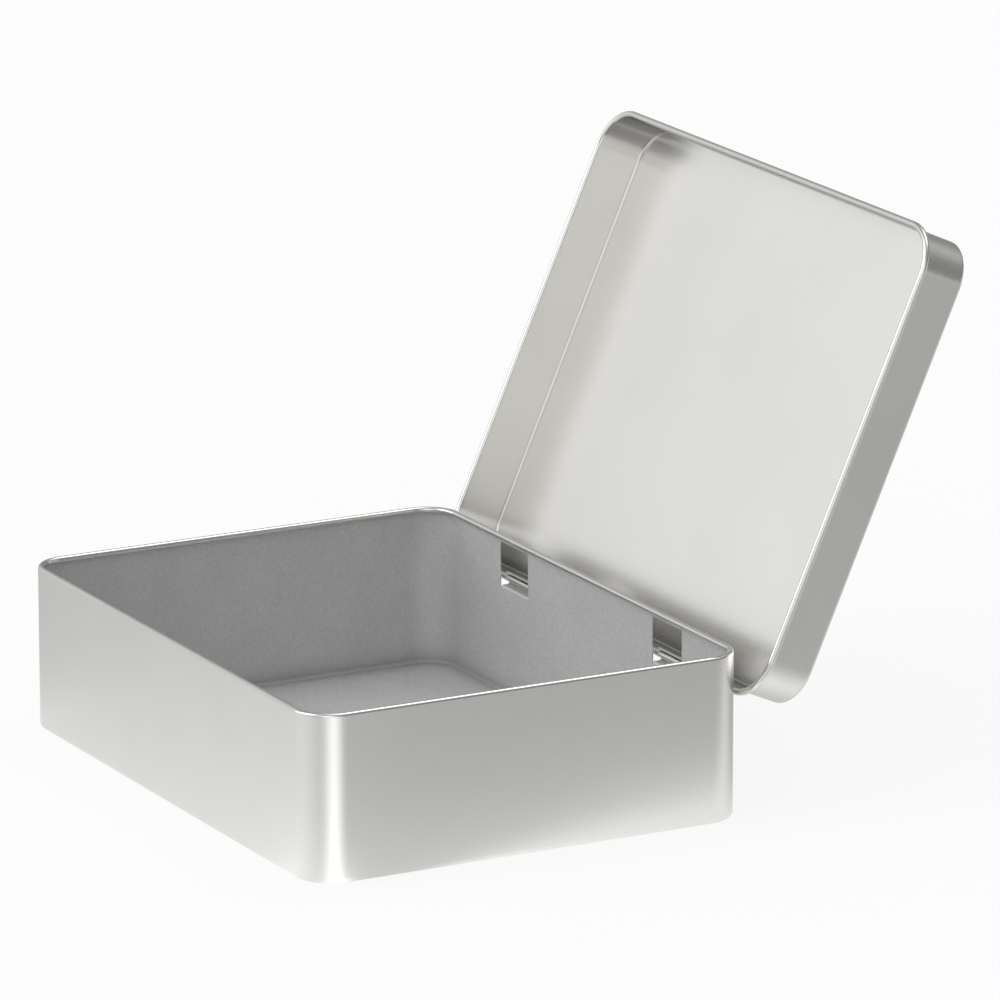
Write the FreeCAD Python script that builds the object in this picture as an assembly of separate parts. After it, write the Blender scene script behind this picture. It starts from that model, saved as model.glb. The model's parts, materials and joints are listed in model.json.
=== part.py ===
# A shallow rectangular tin box whose lid swings on two rolled knuckles at the back.
# Millimetres, +Z up. The origin is the middle of the underside, X runs along the
# hinge and the hinge is on the +Y side. The lid is drawn closed and then swung open.

import FreeCAD, Part
import math
import os
from FreeCAD import Vector

# sizes that are set by themselves
box_width = 200.0          # outside of the base, along the hinge
box_depth = 149.0          # outside of the base, front to back
box_height = 53.0          # underside to the top of the rim
corner_radius = 12.0       # outside of the base, seen from above
sheet = 0.3                # tinplate
base_bend = 1.5            # outside radius between floor and wall

lid_height = 17.0          # edge of the lid's rim to the outside of its panel
lid_bend = 1.2             # outside radius between panel and skirt
swing_gap = 0.17           # what the lid's front edge clears the base by as it swings
seat_gap = 0.3             # what the closed panel stays above the base's rim
open_angle = 114.0         # from closed to leaning back on its stop, degrees

curl_radius = 1.05         # outside radius of the rolled edge on both rims
curl_turn = 300.0          # how far the edge is rolled round, degrees

hinge_offset = 50.0        # middle of the box to the middle of a knuckle
window_width = 18.6        # hole in the back wall that the tongue is cut from
window_land = 1.0          # wall left between the window and the rolled rim
shear_gap = 0.2            # tongue's edge to the window's edge, each side
slot_side_gap = 0.6        # tongue's edge to the end of the lid's slot, each side

knuckle_clearance = 0.5    # rolled edge of the lid to the inside of the knuckle
knuckle_growth = 0.4       # how much wider the knuckle's lower arc is
knuckle_join = 60.0        # where the two arcs meet, degrees above the outward level
knuckle_end = 100.0        # where the tongue ends, degrees above the outward level
root_bend = 0.5            # middle radius where the tongue leaves the wall
stop_gap = 0.03            # slot's edge to the knuckle at the open stop
slot_margin = 0.07         # rolled edge to the near edge of the slot
settling_steps = 30        # rounds that place the slot's far edge

# The lid's front edge swings about the hinge in an arc, so it is nearest to the base where
# it passes the top of the straight wall. The gap round the closed lid that leaves swing_gap
# there solves (across + 2 gap)^2 - rise^2 = (across + gap + swing_gap)^2.
rise = lid_height - seat_gap - sheet - 2 * curl_radius
across = box_depth + curl_radius
half_linear = across - swing_gap
constant = rise ** 2 + swing_gap ** 2 + 2 * across * swing_gap
lid_clearance = (math.sqrt(half_linear ** 2 + 3 * constant) - half_linear) / 3

# sizes that follow
half_sheet = sheet / 2
curl_reach = curl_radius - sheet
closed_top = box_height + seat_gap + sheet
lid_growth = lid_clearance + sheet
lid_width = box_width + 2 * lid_growth
lid_depth = box_depth + 2 * lid_growth
lid_corner = corner_radius + lid_growth
hinge_y = lid_depth / 2 + curl_reach
hinge_z = closed_top - lid_height + curl_radius

upper_radius = curl_radius + knuckle_clearance + half_sheet
lower_radius = upper_radius + knuckle_growth
join_turn = math.radians(knuckle_join)
lower_y = hinge_y - knuckle_growth * math.cos(join_turn)
lower_z = hinge_z - knuckle_growth * math.sin(join_turn)
window_bottom = lower_z - lower_radius - root_bend
window_top = box_height - 2 * curl_radius - window_land
tongue_width = window_width - 2 * shear_gap
slot_width = tongue_width + 2 * slot_side_gap

up = Vector(0, 0, 1)


def bent_sheet(start, heading, moves):
    # Edge-on face of a bent strip of sheet in the XZ plane. The middle line starts at
    # start and heads heading degrees above +X. A move is a straight length, or a pair
    # of middle radius and turn in degrees, positive to the left.
    point = Vector(start[0], 0, start[1])
    left_edges = []
    right_edges = []
    for move in moves:
        turn = math.radians(heading)
        along = Vector(math.cos(turn), 0, math.sin(turn))
        leftward = Vector(-math.sin(turn), 0, math.cos(turn))
        if isinstance(move, float):
            end = point + along * move
            for edges, side in ((left_edges, half_sheet), (right_edges, -half_sheet)):
                edges.append(Part.LineSegment(point + leftward * side, end + leftward * side).toShape())
        else:
            radius, bend = move
            hand = math.copysign(1.0, bend)
            centre = point + leftward * (hand * radius)
            spokes = []
            for share in (0.0, 0.5, 1.0):
                swing = math.radians(heading + bend * share)
                spokes.append(Vector(math.sin(swing), 0, -math.cos(swing)) * hand)
            for edges, side in ((left_edges, -hand * half_sheet), (right_edges, hand * half_sheet)):
                arc = [centre + spoke * (radius + side) for spoke in spokes]
                edges.append(Part.Arc(*arc).toShape())
            end = centre + spokes[2] * radius
            heading += bend
        point = end
    first = Part.LineSegment(right_edges[0].firstVertex().Point, left_edges[0].firstVertex().Point)
    last = Part.LineSegment(left_edges[-1].lastVertex().Point, right_edges[-1].lastVertex().Point)
    loop = [first.toShape()] + left_edges + [last.toShape()] + right_edges[::-1]
    return Part.Face(Part.Wire(loop))


def stood_at(section, centre, radius, angle):
    # The section moved out along a corner's radius and turned to face outwards.
    face = section.copy()
    face.translate(Vector(radius, 0, 0))
    face.rotate(Vector(0, 0, 0), up, angle)
    face.translate(centre)
    return face


def corner_centres(width, depth, radius):
    x = width / 2 - radius
    y = depth / 2 - radius
    return [Vector(x, y, 0), Vector(-x, y, 0), Vector(-x, -y, 0), Vector(x, -y, 0)]


def rounded_plate(width, depth, radius, low, thickness):
    # A flat sheet with rounded corners.
    edges = []
    arcs = []
    for quarter, centre in enumerate(corner_centres(width, depth, radius)):
        points = []
        for degrees in (0, 45, 90):
            turn = math.radians(90 * quarter + degrees)
            points.append(centre + Vector(radius * math.cos(turn), radius * math.sin(turn), low))
        arcs.append(points)
    for index, points in enumerate(arcs):
        edges.append(Part.Arc(*points).toShape())
        edges.append(Part.LineSegment(points[2], arcs[(index + 1) % 4][0]).toShape())
    return Part.Face(Part.Wire(edges)).extrude(up * thickness)


def drawn_shell(section, width, depth, radius, bend, plate_low):
    # Four walls and four round corners of one section, closed by a flat plate.
    pieces = []
    centres = corner_centres(width, depth, radius)
    for quarter, centre in enumerate(centres):
        start = 90 * quarter
        pieces.append(stood_at(section, centre, radius, start).revolve(centre, up, 90))
        run = centres[(quarter + 1) % 4] - centre
        pieces.append(stood_at(section, centre, radius, start + 90).extrude(run))
    plate = rounded_plate(width - 2 * bend, depth - 2 * bend, radius - bend, plate_low, sheet)
    return plate.multiFuse(pieces).removeSplitter()


def knuckle_outside(angle):
    # Distance from the hinge axis to the outside of the knuckle, at an angle above the
    # outward level.
    if angle > knuckle_join:
        return upper_radius + half_sheet
    lean = math.radians(angle - knuckle_join)
    outer = lower_radius + half_sheet
    across = knuckle_growth * math.sin(lean)
    return math.sqrt(outer ** 2 - across ** 2) - knuckle_growth * math.cos(lean)


def slot_far_edge():
    # Height of the slot's far edge above the hinge axis, in the closed lid, that
    # brings it against the outside of the knuckle when the lid is fully open.
    far = upper_radius
    for step in range(settling_steps):
        angle = math.degrees(math.atan2(far, -curl_reach)) - open_angle
        reach = knuckle_outside(angle) + stop_gap
        far = math.sqrt(reach ** 2 - curl_reach ** 2)
    return far


def base_tongue(middle):
    # Tongue left at the window's lower edge, bent out and rolled up round the hinge axis.
    level_run = lower_y - (box_depth / 2 - half_sheet + root_bend)
    moves = [
        (root_bend, -90.0),
        level_run,
        (lower_radius, 90.0 + knuckle_join),
        (upper_radius, knuckle_end - knuckle_join),
    ]
    face = bent_sheet((box_depth / 2 - half_sheet, window_bottom), 90.0, moves)
    face.rotate(Vector(0, 0, 0), up, 90)
    face.translate(Vector(middle + tongue_width / 2, 0, 0))
    return face.extrude(Vector(-tongue_width, 0, 0))


def centred_box(middle, width, y_range, z_range):
    corner = Vector(middle - width / 2, y_range[0], z_range[0])
    return Part.makeBox(width, y_range[1] - y_range[0], z_range[1] - z_range[0], corner)


def base_shell():
    wall = box_height - base_bend - curl_radius
    moves = [
        (base_bend - half_sheet, 90.0),
        wall,
        (curl_radius - half_sheet, curl_turn),
    ]
    section = bent_sheet((-base_bend, half_sheet), 0.0, moves)
    shell = drawn_shell(section, box_width, box_depth, corner_radius, base_bend, 0.0)
    through_wall = (box_depth / 2 - 2 * sheet, box_depth / 2 + sheet)
    for middle in (-hinge_offset, hinge_offset):
        shell = shell.cut(centred_box(middle, window_width, through_wall, (window_bottom, window_top)))
        shell = shell.fuse(base_tongue(middle))
    return shell.removeSplitter()


def lid_shell():
    skirt = lid_height - lid_bend - curl_radius
    moves = [
        (lid_bend - half_sheet, -90.0),
        skirt,
        (curl_radius - half_sheet, curl_turn),
    ]
    section = bent_sheet((-lid_bend, closed_top - half_sheet), 0.0, moves)
    shell = drawn_shell(section, lid_width, lid_depth, lid_corner, lid_bend, closed_top - sheet)
    slot_near = math.sqrt(curl_radius ** 2 - curl_reach ** 2) + slot_margin
    slot_z = (hinge_z + slot_near, hinge_z + slot_far_edge())
    slot_y = (lid_depth / 2 - 2 * sheet, lid_depth / 2 + slot_margin / 2)
    for middle in (-hinge_offset, hinge_offset):
        shell = shell.cut(centred_box(middle, slot_width, slot_y, slot_z))
    shell.rotate(Vector(0, hinge_y, hinge_z), Vector(1, 0, 0), -open_angle)
    return shell


os.makedirs("parts", exist_ok=True)
for name, shape in (("base_shell", base_shell()), ("lid_shell", lid_shell())):
    shape = shape.Solids[0] if len(shape.Solids) == 1 else shape
    shape.exportStep("parts/" + name + ".step")
    print(name, "solids", len(shape.Solids), "valid", shape.isValid(), "volume", round(shape.Volume, 1))
print("hinge axis at y", round(hinge_y, 4), "z", round(hinge_z, 4), "lid gap", round(lid_clearance, 4))
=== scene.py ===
import json
import math
import bmesh
import bpy
import numpy as np
from mathutils import Matrix, Vector


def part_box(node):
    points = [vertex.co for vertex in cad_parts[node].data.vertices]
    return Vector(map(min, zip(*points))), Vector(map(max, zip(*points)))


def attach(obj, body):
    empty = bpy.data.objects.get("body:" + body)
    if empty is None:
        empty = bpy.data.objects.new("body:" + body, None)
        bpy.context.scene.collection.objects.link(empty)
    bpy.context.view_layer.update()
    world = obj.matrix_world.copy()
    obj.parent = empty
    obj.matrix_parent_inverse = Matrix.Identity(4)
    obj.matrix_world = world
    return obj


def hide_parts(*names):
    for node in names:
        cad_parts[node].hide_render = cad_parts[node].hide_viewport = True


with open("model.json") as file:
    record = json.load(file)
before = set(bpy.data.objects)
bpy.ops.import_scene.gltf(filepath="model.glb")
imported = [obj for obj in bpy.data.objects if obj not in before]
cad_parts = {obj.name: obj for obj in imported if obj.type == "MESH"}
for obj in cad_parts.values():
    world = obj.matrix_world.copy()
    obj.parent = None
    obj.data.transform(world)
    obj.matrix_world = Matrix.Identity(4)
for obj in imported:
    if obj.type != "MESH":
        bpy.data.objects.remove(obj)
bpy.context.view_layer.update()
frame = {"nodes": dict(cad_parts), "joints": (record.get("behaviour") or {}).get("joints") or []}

print("frame loaded,", len(frame["nodes"]), "solids")

# The sheet that both halves are pressed from. Lengths are metres, angles degrees.
tinplate = {
    "sheet": 0.0003,
    "curlRadius": 0.00105,      # outside of the rolled edge
    "curlTurn": 300.0,          # how far the edge is rolled
    "curlSteps": 44,
    "cornerSteps": 28,
    "bendSteps": 9,
    "sideColumns": 6,
    "beside": 0.00035,          # rows and columns this close to a bend keep the flats flat
    "cutAngle": 38.0,           # folds sharper than this are cut edges
    "rubFade": 0.0003,          # height over which the rubbing on a rim sets in
}
nearly = 1e-6                   # points and rows closer than this are the same
halfSheet = tinplate["sheet"] / 2
curlMiddle = tinplate["curlRadius"] - halfSheet

hinge = frame["joints"][0]
hingeY, hingeZ = hinge["pos_m"][1], hinge["pos_m"][2]
openTurn = math.radians(hinge["range_deg"][1])


# Middle line of a bent strip, in two coordinates. A run goes its length along the heading.
# A bend goes round the point one radius to the left of the line (to the right for a
# negative turn): that point + radius * (sin, -cos) of the heading while it turns.
def bentLine(start, heading, moves):
    point = np.array(start, float)
    lines = [point[None, :]]
    facing = math.radians(heading)
    for move in moves:
        share = np.array(move["at"])[:, None]
        if "run" in move:
            line = point + move["run"] * share * np.array([math.cos(facing), math.sin(facing)])
        else:
            turn = math.radians(move["turn"])
            radius = math.copysign(move["bend"], turn)
            centre = point + radius * np.array([-math.sin(facing), math.cos(facing)])
            swing = facing + turn * share
            line = centre + radius * np.hstack([np.sin(swing), -np.cos(swing)])
            facing += turn
        lines.append(line)
        point = line[-1]
    return np.vstack(lines)


# Shares at even steps with the start left out.
def evenly(steps):
    return np.linspace(0.0, 1.0, steps + 1)[1:]


# Shares of a straight run at its two ends, just beside them, evenly between, and at marks.
def runShares(length, steps, marks=()):
    near = tinplate["beside"] / length
    shares = np.concatenate([np.linspace(near, 1 - near, steps + 1), np.array(marks) / length, [1.0]])
    return np.unique(np.round(shares, 7))


# Columns round a rectangle with round corners, counter-clockwise from +X. On a corner the
# centre stays and the outward angle turns, on a side the angle stays and the centre moves
# from one corner's centre to the next. The third array is how far along the back a column is.
def cornerPath(width, depth, corner, backMarks):
    reachX, reachY = width / 2 - corner, depth / 2 - corner
    centres, angles, alongBack = [], [], []
    for quarter in range(4):
        turning = np.radians(90.0 * quarter + np.linspace(0.0, 90.0, tinplate["cornerSteps"] + 1))
        outward = np.array([math.cos(turning[-1]), math.sin(turning[-1])])
        travel = np.array([-outward[1], outward[0]])
        half, depthOut = (reachX, reachY) if quarter % 2 == 0 else (reachY, reachX)
        marks = np.array(backMarks) + half if quarter == 0 else []
        steps = 2 * half * runShares(2 * half, tinplate["sideColumns"], marks)[:-1] - half
        centres.append(np.tile(outward * depthOut - travel * half, (len(turning), 1)))
        centres.append(outward * depthOut + travel * steps[:, None])
        angles.append(turning)
        angles.append(np.full(len(steps), turning[-1]))
        alongBack.append(np.full(len(turning), np.nan))
        alongBack.append(steps if quarter == 0 else np.full(len(steps), np.nan))
        if quarter == 0:
            alongBack[0][-1] = -half
    return np.concatenate(centres), np.concatenate(angles), np.concatenate(alongBack)


# Pressed shell. Row v has an offset o(v) out of the wall and a height z(v), column u has a
# centre c(u) and an outward angle a(u): the surface is c + (corner + o) * (cos a, sin a) at
# height z. The flat plate is the innermost ring shrunk towards the middle, down to one point.
def pressedShell(name, size, line, slots, facingUp):
    marks = np.ravel([[side * slots["offset"] + edge for edge in slots["edges"]] for side in (-1, 1)])
    centres, angles, alongBack = cornerPath(size["width"], size["depth"], size["corner"], marks)
    outward = np.stack([np.cos(angles), np.sin(angles)], 1)
    inner = np.array([[line[0, 0] - tinplate["beside"], line[0, 1]]])
    rows = np.vstack([inner, line])
    flat = centres[None] + outward[None] * (size["corner"] + rows[:, 0])[:, None, None]
    shrink = np.array(size["plateRings"])[:, None, None]
    flat = np.concatenate([flat[:1] * shrink, flat])
    heights = np.concatenate([np.full(len(shrink), line[0, 1]), rows[:, 1]])
    offsets = np.concatenate([line[0, 0] - (1 - shrink.ravel()) * size["depth"] / 2, rows[:, 0]])
    rowCount, columnCount = flat.shape[:2]
    points = np.concatenate([flat, np.broadcast_to(heights[:, None, None], (rowCount, columnCount, 1))], 2)
    points = np.vstack([points.reshape(-1, 3), [[0.0, 0.0, line[0, 1]]]])

    row, column = np.meshgrid(np.arange(rowCount - 1), np.arange(columnCount), indexing="ij")
    after = (column + 1) % columnCount
    quads = np.stack([row * columnCount + column, row * columnCount + after,
                      (row + 1) * columnCount + after, (row + 1) * columnCount + column], -1)
    middleAlong = (alongBack[column] + alongBack[after]) / 2
    middleHeight = (heights[row] + heights[row + 1]) / 2
    offWall = abs(offsets + halfSheet)
    onWall = np.maximum(offWall[row], offWall[row + 1]) < nearly
    inWidth = abs(abs(middleAlong) - slots["offset"]) < slots["width"] / 2
    inHeight = (middleHeight > slots["low"]) & (middleHeight < slots["high"])
    quads = quads[~(onWall & inWidth & inHeight)]
    first = np.arange(columnCount)
    fan = np.stack([np.full(columnCount, len(points) - 1), (first + 1) % columnCount, first], -1)
    if facingUp:
        quads, fan = quads[:, ::-1], fan[:, ::-1]
    mesh = bpy.data.meshes.new(name)
    mesh.from_pydata(points.tolist(), [], quads.tolist() + fan.tolist())
    for mark in ("rubbed", "crease"):
        values = size[mark](offsets[:, None], heights[:, None], flat[..., 1])
        values = np.append(np.broadcast_to(values, (rowCount, columnCount)), 0.0)
        mesh.attributes.new(mark, "FLOAT", "POINT").data.foreach_set("value", values)
    return mesh


# Tongue: the line across, with (y, z) as it goes, drawn out in x over the given columns.
def tongueMesh(name, line, columns, marks):
    x = np.tile(columns, (len(line), 1))
    y, z = (np.repeat(line[:, k:k + 1], len(columns), 1) for k in (0, 1))
    points = np.stack([x, y, z], -1).reshape(-1, 3)
    row, column = np.meshgrid(np.arange(len(line) - 1), np.arange(len(columns) - 1), indexing="ij")
    start = row * len(columns) + column
    quads = np.stack([start, start + 1, start + len(columns) + 1, start + len(columns)], -1).reshape(-1, 4)
    mesh = bpy.data.meshes.new(name)
    mesh.from_pydata(points.tolist(), [], quads.tolist())
    for mark, value in marks.items():
        mesh.attributes.new(mark, "FLOAT", "POINT").data.foreach_set("value", np.full(len(points), value))
    return mesh


# The middle surfaces become one mesh, get the sheet's thickness half to each side, and
# their cut edges are marked so that the flats next to them stay flat.
def sheetPiece(name, meshes, materials, body, node):
    joined = bmesh.new()
    for mesh in meshes:
        joined.from_mesh(mesh)
    bmesh.ops.remove_doubles(joined, verts=joined.verts, dist=nearly)
    middle = bpy.data.meshes.new(name)
    joined.to_mesh(middle)
    joined.free()
    piece = bpy.data.objects.new(name, middle)
    bpy.context.scene.collection.objects.link(piece)
    for material in materials:
        middle.materials.append(material)
    wall = piece.modifiers.new("thickness", "SOLIDIFY")
    wall.thickness = tinplate["sheet"]
    wall.offset = 0.0
    wall.use_even_offset = True
    wall.material_offset = 1
    finished = bpy.data.meshes.new_from_object(piece.evaluated_get(bpy.context.evaluated_depsgraph_get()))
    piece.modifiers.clear()
    piece.data = finished
    finished.name = name
    finished.shade_smooth()
    finished.set_sharp_from_angle(angle=math.radians(tinplate["cutAngle"]))
    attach(piece, body)
    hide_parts(node)
    print(name, len(finished.polygons), "faces")


# Node helpers: a number or vector is set on a socket, another node's result is joined to it.
def feed(tree, socket, value):
    if isinstance(value, bpy.types.NodeSocket):
        tree.links.new(value, socket)
    else:
        socket.default_value = value


def feedNode(tree, node, sockets):
    for name, value in sockets.items():
        feed(tree, node.inputs[name], value)


def mathNode(tree, how, *values):
    node = tree.nodes.new("ShaderNodeMath")
    node.operation = how
    for socket, value in zip(node.inputs, values):
        feed(tree, socket, value)
    return node.outputs["Value"]


def vectorNode(tree, how, *values):
    node = tree.nodes.new("ShaderNodeVectorMath")
    node.operation = how
    for socket, value in zip(node.inputs, values):
        feed(tree, socket, value)
    return node.outputs["Value" if how in ("DOT_PRODUCT", "LENGTH") else "Vector"]


def rangeNode(tree, value, low, high, toLow, toHigh):
    node = tree.nodes.new("ShaderNodeMapRange")
    feedNode(tree, node, {"Value": value, "From Min": low, "From Max": high})
    feedNode(tree, node, {"To Min": toLow, "To Max": toHigh})
    return node.outputs["Result"]


# Tin-plated steel with a satin skin: a metal whose roughness and height follow a fine
# grain, with broad soft clouds in its colour and a smoother skin where it is rubbed.
satinFinish = {
    "colour": (0.765, 0.758, 0.735),
    "cloudDepth": 0.03,         # share of the colour that the clouds take away
    "speckDepth": 0.02,         # share that the grain takes away
    "cloudSize": 0.035,         # metres
    "roughness": 0.25,
    "roughnessSpread": 0.03,
    "rubbedRoughness": -0.12,
    "grainSize": 0.00035,
    "grainHeight": 0.000003,
    "grainStrength": 0.3,
    "creaseDepth": 0.0,         # share of the colour that painted shade takes away
}
# Inside of the base: the same sheet with a dull, finely speckled coat, darkened along the floor's bend by
# painted shade.
dullFinish = {
    "colour": (0.765, 0.765, 0.765),
    "cloudDepth": 0.04,
    "speckDepth": 0.20,
    "cloudSize": 0.02,
    "roughness": 0.76,
    "roughnessSpread": 0.08,
    "rubbedRoughness": 0.0,
    "grainSize": 0.0008,
    "grainHeight": 0.00003,
    "grainStrength": 0.7,
    "creaseDepth": 0.22,
}
# The noises of both finishes, and the part of a noise's range that goes from none to full.
patterns = {
    "clouds": {"detail": 3.0, "roughness": 0.5, "low": 0.3, "high": 0.7},
    "grain": {"detail": 2.0, "roughness": 0.6, "low": 0.25, "high": 0.75},
}


def tinMaterial(name, finish):
    material = bpy.data.materials.new(name)
    material.use_nodes = True
    tree = material.node_tree
    surface = tree.nodes["Principled BSDF"]
    surface.inputs["Metallic"].default_value = 1.0
    where = tree.nodes.new("ShaderNodeTexCoord")

    def noise(pattern, size):
        node = tree.nodes.new("ShaderNodeTexNoise")
        feedNode(tree, node, {"Vector": where.outputs["Object"], "Scale": 1.0 / size})
        feedNode(tree, node, {"Detail": pattern["detail"], "Roughness": pattern["roughness"]})
        return node.outputs["Fac"]

    def spread(value, pattern, atLow, atHigh):
        return rangeNode(tree, value, pattern["low"], pattern["high"], atLow, atHigh)

    def marked(mark):
        attribute = tree.nodes.new("ShaderNodeAttribute")
        attribute.attribute_name = mark
        return attribute.outputs["Fac"]

    clouds = noise(patterns["clouds"], finish["cloudSize"])
    grain = noise(patterns["grain"], finish["grainSize"])
    tint = tree.nodes.new("ShaderNodeMix")
    tint.data_type = "RGBA"
    taken = mathNode(tree, "ADD", spread(clouds, patterns["clouds"], finish["cloudDepth"], 0.0),
                     spread(grain, patterns["grain"], finish["speckDepth"], 0.0))
    # Painted shade: the marked bends and the hinge lose a further share of the colour.
    taken = mathNode(tree, "MULTIPLY_ADD", marked("crease"), finish["creaseDepth"], taken)
    feedNode(tree, tint, {"Factor": taken, "A": (*finish["colour"], 1.0), "B": (0.0, 0.0, 0.0, 1.0)})
    feed(tree, surface.inputs["Base Color"], tint.outputs["Result"])

    middle, reach = finish["roughness"], finish["roughnessSpread"]
    unrubbed = spread(grain, patterns["grain"], middle - reach, middle + reach)
    rough = mathNode(tree, "MULTIPLY_ADD", marked("rubbed"), finish["rubbedRoughness"], unrubbed)
    feed(tree, surface.inputs["Roughness"], rough)

    bump = tree.nodes.new("ShaderNodeBump")
    feedNode(tree, bump, {"Strength": finish["grainStrength"], "Distance": finish["grainHeight"]})
    feed(tree, bump.inputs["Height"], grain)
    feed(tree, surface.inputs["Normal"], bump.outputs["Normal"])
    return material


satinTin = tinMaterial("satinTin", satinFinish)
# Inside of the lid: the satin sheet, darkened round the hinge by painted shade.
innerTinPaintedShade = tinMaterial("innerTinPaintedShade", {**satinFinish, "creaseDepth": 0.55})
dullTin = tinMaterial("dullTin", dullFinish)
print("finishes made")


baseTin = {
    "width": 0.200,
    "depth": 0.149,
    "height": 0.053,
    "corner": 0.012,
    "floorBend": 0.0015,        # outside radius between floor and wall
    "hingeOffset": 0.050,
    "windowWidth": 0.0186,
    "windowLand": 0.001,        # wall left between the window and the rolled rim
    "shearGap": 0.0002,         # tongue's edge to the window's edge
    "plateRings": [0.25, 0.5, 0.75, 0.9, 0.94, 0.97, 0.985],
    "wallRows": 6,
    "paintedShadeRows": [0.0025, 0.0035, 0.005, 0.0075],  # heights of extra rows, for the painted shade along the floor's bend
    "creaseReach": 0.002,       # how far the painted shade fades out from the floor's bend
    "standInset": 0.0012,       # the tin stands on what is this close to the wall's outside
    "standRub": 0.5,            # how rubbed that is, against the rim
}
tongue = {
    "clearance": 0.0005,        # rolled edge of the lid to the inside of the knuckle
    "growth": 0.0004,           # how much wider the lower arc is
    "join": 60.0,               # where the two arcs meet, above the outward level
    "end": 100.0,               # where the tongue ends
    "rootBend": 0.0005,
    "rootSteps": 8,
    "runSteps": 2,
    "lowerSteps": 24,
    "upperSteps": 8,
    "acrossColumns": 8,
    "rubbed": 0.6,
}
upperRadius = tinplate["curlRadius"] + tongue["clearance"] + halfSheet
lowerRadius = upperRadius + tongue["growth"]
lowerY = hingeY - tongue["growth"] * math.cos(math.radians(tongue["join"]))
lowerZ = hingeZ - tongue["growth"] * math.sin(math.radians(tongue["join"]))
windowLow = lowerZ - lowerRadius - tongue["rootBend"]
windowHigh = baseTin["height"] - 2 * tinplate["curlRadius"] - baseTin["windowLand"]
wallY = baseTin["depth"] / 2 - halfSheet
tongueHalf = baseTin["windowWidth"] / 2 - baseTin["shearGap"]

wallLow, wallHigh = baseTin["floorBend"], baseTin["height"] - tinplate["curlRadius"]
wallMarks = np.array([windowLow, windowHigh, *baseTin["paintedShadeRows"]]) - wallLow
baseLine = bentLine((-baseTin["floorBend"], halfSheet), 0.0, [
    {"bend": baseTin["floorBend"] - halfSheet, "turn": 90.0, "at": evenly(tinplate["bendSteps"])},
    {"run": wallHigh - wallLow, "at": runShares(wallHigh - wallLow, baseTin["wallRows"], wallMarks)},
    {"bend": curlMiddle, "turn": tinplate["curlTurn"], "at": evenly(tinplate["curlSteps"])},
])


# Rubbed on the rolled rim, setting in over rubFade above the wall, and less under the bend
# that the tin stands on, where it fades out over the bend's height.
def baseRubbed(offsets, heights, y):
    onRim = np.clip((heights - wallHigh) / tinplate["rubFade"], 0, 1)
    underBend = np.clip(1 - heights / baseTin["floorBend"], 0, 1) * (offsets > -baseTin["standInset"])
    return onRim + baseTin["standRub"] * underBend


# Painted shade along the floor's bend fades out as exp(-distance from the bend / creaseReach).
def baseFloorShade(offsets, heights, y):
    inward = np.minimum(offsets + baseTin["floorBend"], 0)
    upward = np.maximum(heights - baseTin["floorBend"], 0)
    away = np.hypot(inward, upward)
    return np.exp(-away / baseTin["creaseReach"])


baseTin.update(rubbed=baseRubbed, crease=baseFloorShade)
tongueColumns = np.linspace(tongueHalf, -tongueHalf, tongue["acrossColumns"] + 1)
windowEdges = np.concatenate([[-baseTin["windowWidth"] / 2], -tongueColumns, [baseTin["windowWidth"] / 2]])
windows = {
    "offset": baseTin["hingeOffset"],
    "edges": windowEdges,
    "width": baseTin["windowWidth"],
    "low": windowLow,
    "high": windowHigh,
}
tongueLine = bentLine((wallY, windowLow), 90.0, [
    {"bend": tongue["rootBend"], "turn": -90.0, "at": evenly(tongue["rootSteps"])},
    {"run": lowerY - wallY - tongue["rootBend"], "at": evenly(tongue["runSteps"])},
    {"bend": lowerRadius, "turn": 90.0 + tongue["join"], "at": evenly(tongue["lowerSteps"])},
    {"bend": upperRadius, "turn": tongue["end"] - tongue["join"], "at": evenly(tongue["upperSteps"])},
])
baseMeshes = [pressedShell("base", baseTin, baseLine, windows, False)]
for side in (-1, 1):
    columns = side * baseTin["hingeOffset"] + tongueColumns
    baseMeshes.append(tongueMesh("tongue", tongueLine, columns, {"rubbed": tongue["rubbed"], "crease": 0.0}))
sheetPiece("base_tin", baseMeshes, [satinTin, dullTin], "base", "base_shell")


lidTin = {
    "height": 0.0170,           # edge of the rolled rim to the outside of the panel
    "panelBend": 0.0012,
    "seatGap": 0.0003,          # closed panel to the base's rim
    "slotSideGap": 0.0006,      # tongue's edge to the end of the slot
    "slotLow": 0.000805,        # edges of the slot above the hinge axis, lid closed
    "slotHigh": 0.001928,
    "slotColumns": 8,
    "skirtRows": 3,
    "plateRings": [0.25, 0.5, 0.7, 0.78, 0.84, 0.88, 0.92, 0.96],
    "rimFades": 3,              # the roll is rubbed up to this many rubFades above the skirt's edge
    "hingeReach": 0.009,        # how far the painted shade at the hinge spreads over the panel
}
lidLow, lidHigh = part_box("lid_shell")
curlOut = 2 * tinplate["curlRadius"] - tinplate["sheet"]
lidGrowth = (lidHigh.x - lidLow.x - 2 * curlOut - baseTin["width"]) / 2
for name in ("width", "depth"):
    lidTin[name] = baseTin[name] + 2 * lidGrowth
lidTin["corner"] = baseTin["corner"] + lidGrowth
closedTop = baseTin["height"] + lidTin["seatGap"] + tinplate["sheet"]
skirt = lidTin["height"] - lidTin["panelBend"] - tinplate["curlRadius"]
skirtTop = closedTop - lidTin["panelBend"]
slotHalf = tongueHalf + lidTin["slotSideGap"]
slotHeights = hingeZ + np.array([lidTin["slotLow"], lidTin["slotHigh"]])
lidLine = bentLine((-lidTin["panelBend"], closedTop - halfSheet), 0.0, [
    {"bend": lidTin["panelBend"] - halfSheet, "turn": -90.0, "at": evenly(tinplate["bendSteps"])},
    {"run": skirt, "at": runShares(skirt, lidTin["skirtRows"], skirtTop - slotHeights)},
    {"bend": curlMiddle, "turn": tinplate["curlTurn"], "at": evenly(tinplate["curlSteps"])},
])


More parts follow.
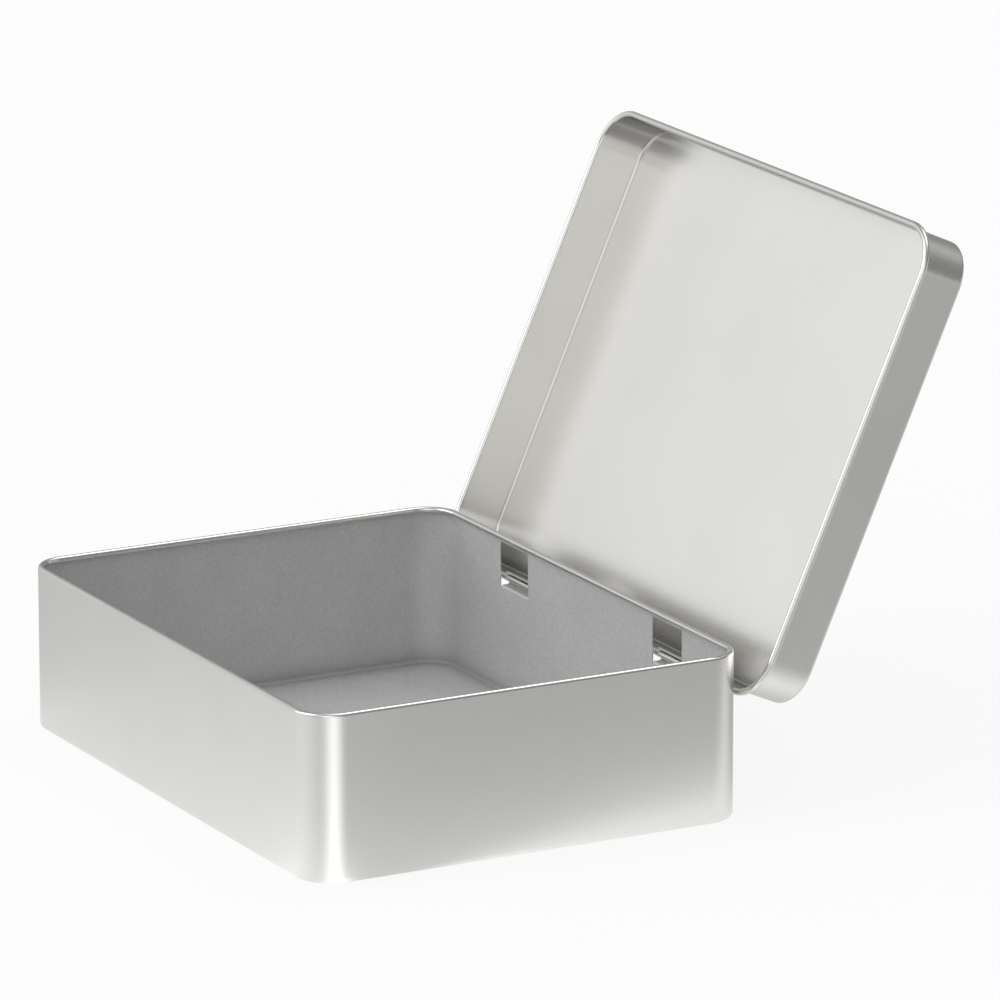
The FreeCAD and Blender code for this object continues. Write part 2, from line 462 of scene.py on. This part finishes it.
# Rubbed on the rolled rim only, setting in over rubFade below the skirt.
def lidRubbed(offsets, heights, y):
    fades = (skirtTop - skirt - heights) / tinplate["rubFade"]
    return np.clip(fades + lidTin["rimFades"] * (offsets > 0), 0, 1)


# Painted shade at the hinge fades out as exp(-(distance from the back / hingeReach) squared).
def lidHingeShade(offsets, heights, y):
    away = np.maximum(lidTin["depth"] / 2 - y, 0) / lidTin["hingeReach"]
    return np.exp(-away ** 2) * (1 - lidRubbed(offsets, heights, y))


lidTin.update(rubbed=lidRubbed, crease=lidHingeShade)
slots = {
    "offset": baseTin["hingeOffset"],
    "edges": np.linspace(-slotHalf, slotHalf, lidTin["slotColumns"] + 1),
    "width": 2 * slotHalf,
    "low": slotHeights[0],
    "high": slotHeights[1],
}
lidMesh = pressedShell("lid", lidTin, lidLine, slots, True)
axis = Matrix.Translation((0.0, hingeY, hingeZ))
lidMesh.transform(axis @ Matrix.Rotation(-openTurn, 4, "X") @ axis.inverted())
sheetPiece("lid_tin", [lidMesh], [satinTin, innerTinPaintedShade], "lid", "lid_shell")

# The camera stands far off with a long lens. Azimuth 0 is in front of the tin, 90 at its right.
studio = {
    "aim": (-0.18581, 0.14165, 0.025),
    "azimuth": 61.87,
    "elevation": 15.03,
    "distance": 2.8656,
    "lens": 305.7,              # millimetres, as the sensor
    "sensor": 36.0,
    "skyLevel": 0.26,           # even light from the whole sky
    "backdropTop": 1.5,         # degrees above the level up to which the metal sees it white
    "floorRadius": 8.0,
    "floorSides": 96,
    "floorLevel": 0.43,         # how bright the far floor is to the metal
    "paintedNearLight": 0.40,          # how much painted light brightens it close to the tin
    "nearReach": 0.065,
    "paperColour": 0.93,
    "paperGlow": 0.87,          # share of the paper that shows as plain white
}
# Soft lights in the sky. Away from its middle a light falls off with its tightness.
skyLights = {
    "left": {"azimuth": 319.5, "elevation": 17.0, "tightness": 25.5, "strength": 1.58},
    "front": {"azimuth": 349.0, "elevation": 38.5, "tightness": 17.5, "strength": 3.16},
    "right": {"azimuth": 58.0, "elevation": 25.5, "tightness": 11.0, "strength": 1.27},
    "back": {"azimuth": 188.0, "elevation": 66.0, "tightness": 13.0, "strength": 2.1},
    "side": {"azimuth": 280.0, "elevation": 17.0, "tightness": 10.0, "strength": 0.43},
}
# Painted pools of light on the floor, seen only in the metal, by their direction from the tin's nearest
# corner.
paintedFloorLight = {
    "front": {"azimuth": 342.5, "tightness": 1.75, "strength": 0.44},
    "corner": {"azimuth": 75.5, "tightness": 14.8, "strength": 0.95},
    "behind": {"azimuth": 169.5, "tightness": 60.0, "strength": 0.36},
}


def towards(azimuth, elevation=0.0):
    a, e = math.radians(azimuth), math.radians(elevation)
    return Vector((math.sin(a) * math.cos(e), -math.cos(a) * math.cos(e), math.sin(e)))


back = towards(studio["azimuth"], studio["elevation"])
camera = bpy.data.objects.new("camera", bpy.data.cameras.new("camera"))
camera.data.lens = studio["lens"]
camera.data.sensor_width = studio["sensor"]
camera.location = Vector(studio["aim"]) + back * studio["distance"]
camera.rotation_mode = "QUATERNION"
camera.rotation_quaternion = (-back).to_track_quat("-Z", "Y")
camera.data.clip_end = 5 * studio["floorRadius"]
bpy.context.scene.collection.objects.link(camera)
bpy.context.scene.camera = camera
bpy.context.scene.view_settings.view_transform = "Standard"


# Light from a direction: the level, and each light's strength times
# exp(tightness * (cosine of the angle to its middle - 1)).
def softLights(tree, direction, level, lights):
    total = level
    for name, light in lights.items():
        middle = towards(light["azimuth"], light.get("elevation", 0.0))
        cosine = vectorNode(tree, "DOT_PRODUCT", direction, middle)
        exponent = mathNode(tree, "MULTIPLY_ADD", cosine, light["tightness"], -light["tightness"])
        falloff = mathNode(tree, "EXPONENT", exponent)
        total = mathNode(tree, "MULTIPLY_ADD", falloff, light["strength"], total)
        total.node.label = name
    return total


# 1 for the named kinds of ray and 0 for the rest.
def seenBy(tree, *kinds):
    path = tree.nodes.new("ShaderNodeLightPath")
    seen = path.outputs[kinds[0]]
    for kind in kinds[1:]:
        seen = mathNode(tree, "MAXIMUM", seen, path.outputs[kind])
    return seen


# The first value where share is 0, the second where it is 1.
def between(tree, first, second, share):
    return mathNode(tree, "MULTIPLY_ADD", share, mathNode(tree, "SUBTRACT", second, first), first)


world = bpy.data.worlds.new("studio")
world.use_nodes = True
bpy.context.scene.world = world
tree = world.node_tree
skyward = tree.nodes.new("ShaderNodeTexCoord").outputs["Generated"]
height = tree.nodes.new("ShaderNodeSeparateXYZ")
feed(tree, height.inputs[0], skyward)
top = math.sin(math.radians(studio["backdropTop"]))
# The eye sees plain white all round, the metal only just above the level.
lowDown = rangeNode(tree, height.outputs["Z"], top / 2, top, 1.0, 0.0)
seenLow = mathNode(tree, "MULTIPLY", seenBy(tree, "Is Glossy Ray"), lowDown)
backdrop = mathNode(tree, "MAXIMUM", seenLow, seenBy(tree, "Is Camera Ray", "Is Transmission Ray"))
sky = softLights(tree, skyward, studio["skyLevel"], skyLights)
feed(tree, tree.nodes["Background"].inputs["Color"], (1.0, 1.0, 1.0, 1.0))
feed(tree, tree.nodes["Background"].inputs["Strength"], between(tree, sky, 1.0, backdrop))

# A round floor: its edge is radius * (cos, sin) of the angle round the tin.
sides = studio["floorSides"]
around = np.radians(np.linspace(0.0, 360.0, sides + 1)[:-1])
edge = studio["floorRadius"] * np.stack([np.cos(around), np.sin(around), np.zeros(sides)], 1)
floorMesh = bpy.data.meshes.new("floor")
floorMesh.from_pydata(edge.tolist(), [], [list(range(sides))])
floor = bpy.data.objects.new("floor", floorMesh)
bpy.context.scene.collection.objects.link(floor)
paper = bpy.data.materials.new("paper")
paper.use_nodes = True
tree = paper.node_tree
tree.nodes.remove(tree.nodes["Principled BSDF"])
spot = tree.nodes.new("ShaderNodeTexCoord").outputs["Object"]
halfBase = (baseTin["width"] / 2, baseTin["depth"] / 2, 0.0)
corner = Vector((halfBase[0] - baseTin["corner"], baseTin["corner"] - halfBase[1], 0.0))
outward = vectorNode(tree, "NORMALIZE", vectorNode(tree, "SUBTRACT", spot, corner))
paintedPools = softLights(tree, outward, studio["floorLevel"], paintedFloorLight)
# Painted light close to the tin, its strength times exp(-distance from the base's sides / nearReach), comes on
# top
beyond = vectorNode(tree, "SUBTRACT", vectorNode(tree, "ABSOLUTE", spot), halfBase)
beyond = vectorNode(tree, "MAXIMUM", beyond, (0.0, 0.0, 0.0))
away = mathNode(tree, "DIVIDE", vectorNode(tree, "LENGTH", beyond), -studio["nearReach"])
nearness = mathNode(tree, "EXPONENT", away)
tone = mathNode(tree, "MULTIPLY_ADD", nearness, studio["paintedNearLight"], paintedPools)
matt = tree.nodes.new("ShaderNodeBsdfDiffuse")
feed(tree, matt.inputs["Color"], (*[studio["paperColour"]] * 3, 1.0))
# The glow is plain white to the eye, and to the metal it has the floor's tones with their painted pools of
# light.
glow = tree.nodes.new("ShaderNodeEmission")
byEye = seenBy(tree, "Is Camera Ray", "Is Transmission Ray")
feed(tree, glow.inputs["Strength"], between(tree, tone, 1.0, byEye))
seen = seenBy(tree, "Is Camera Ray", "Is Glossy Ray", "Is Transmission Ray")
choose = tree.nodes.new("ShaderNodeMixShader")
mixed = (mathNode(tree, "MULTIPLY", seen, studio["paperGlow"]), matt.outputs["BSDF"], glow.outputs["Emission"])
for socket, value in zip(choose.inputs, mixed):
    feed(tree, socket, value)
feed(tree, tree.nodes["Material Output"].inputs["Surface"], choose.outputs["Shader"])
floorMesh.materials.append(paper)
print("studio set")
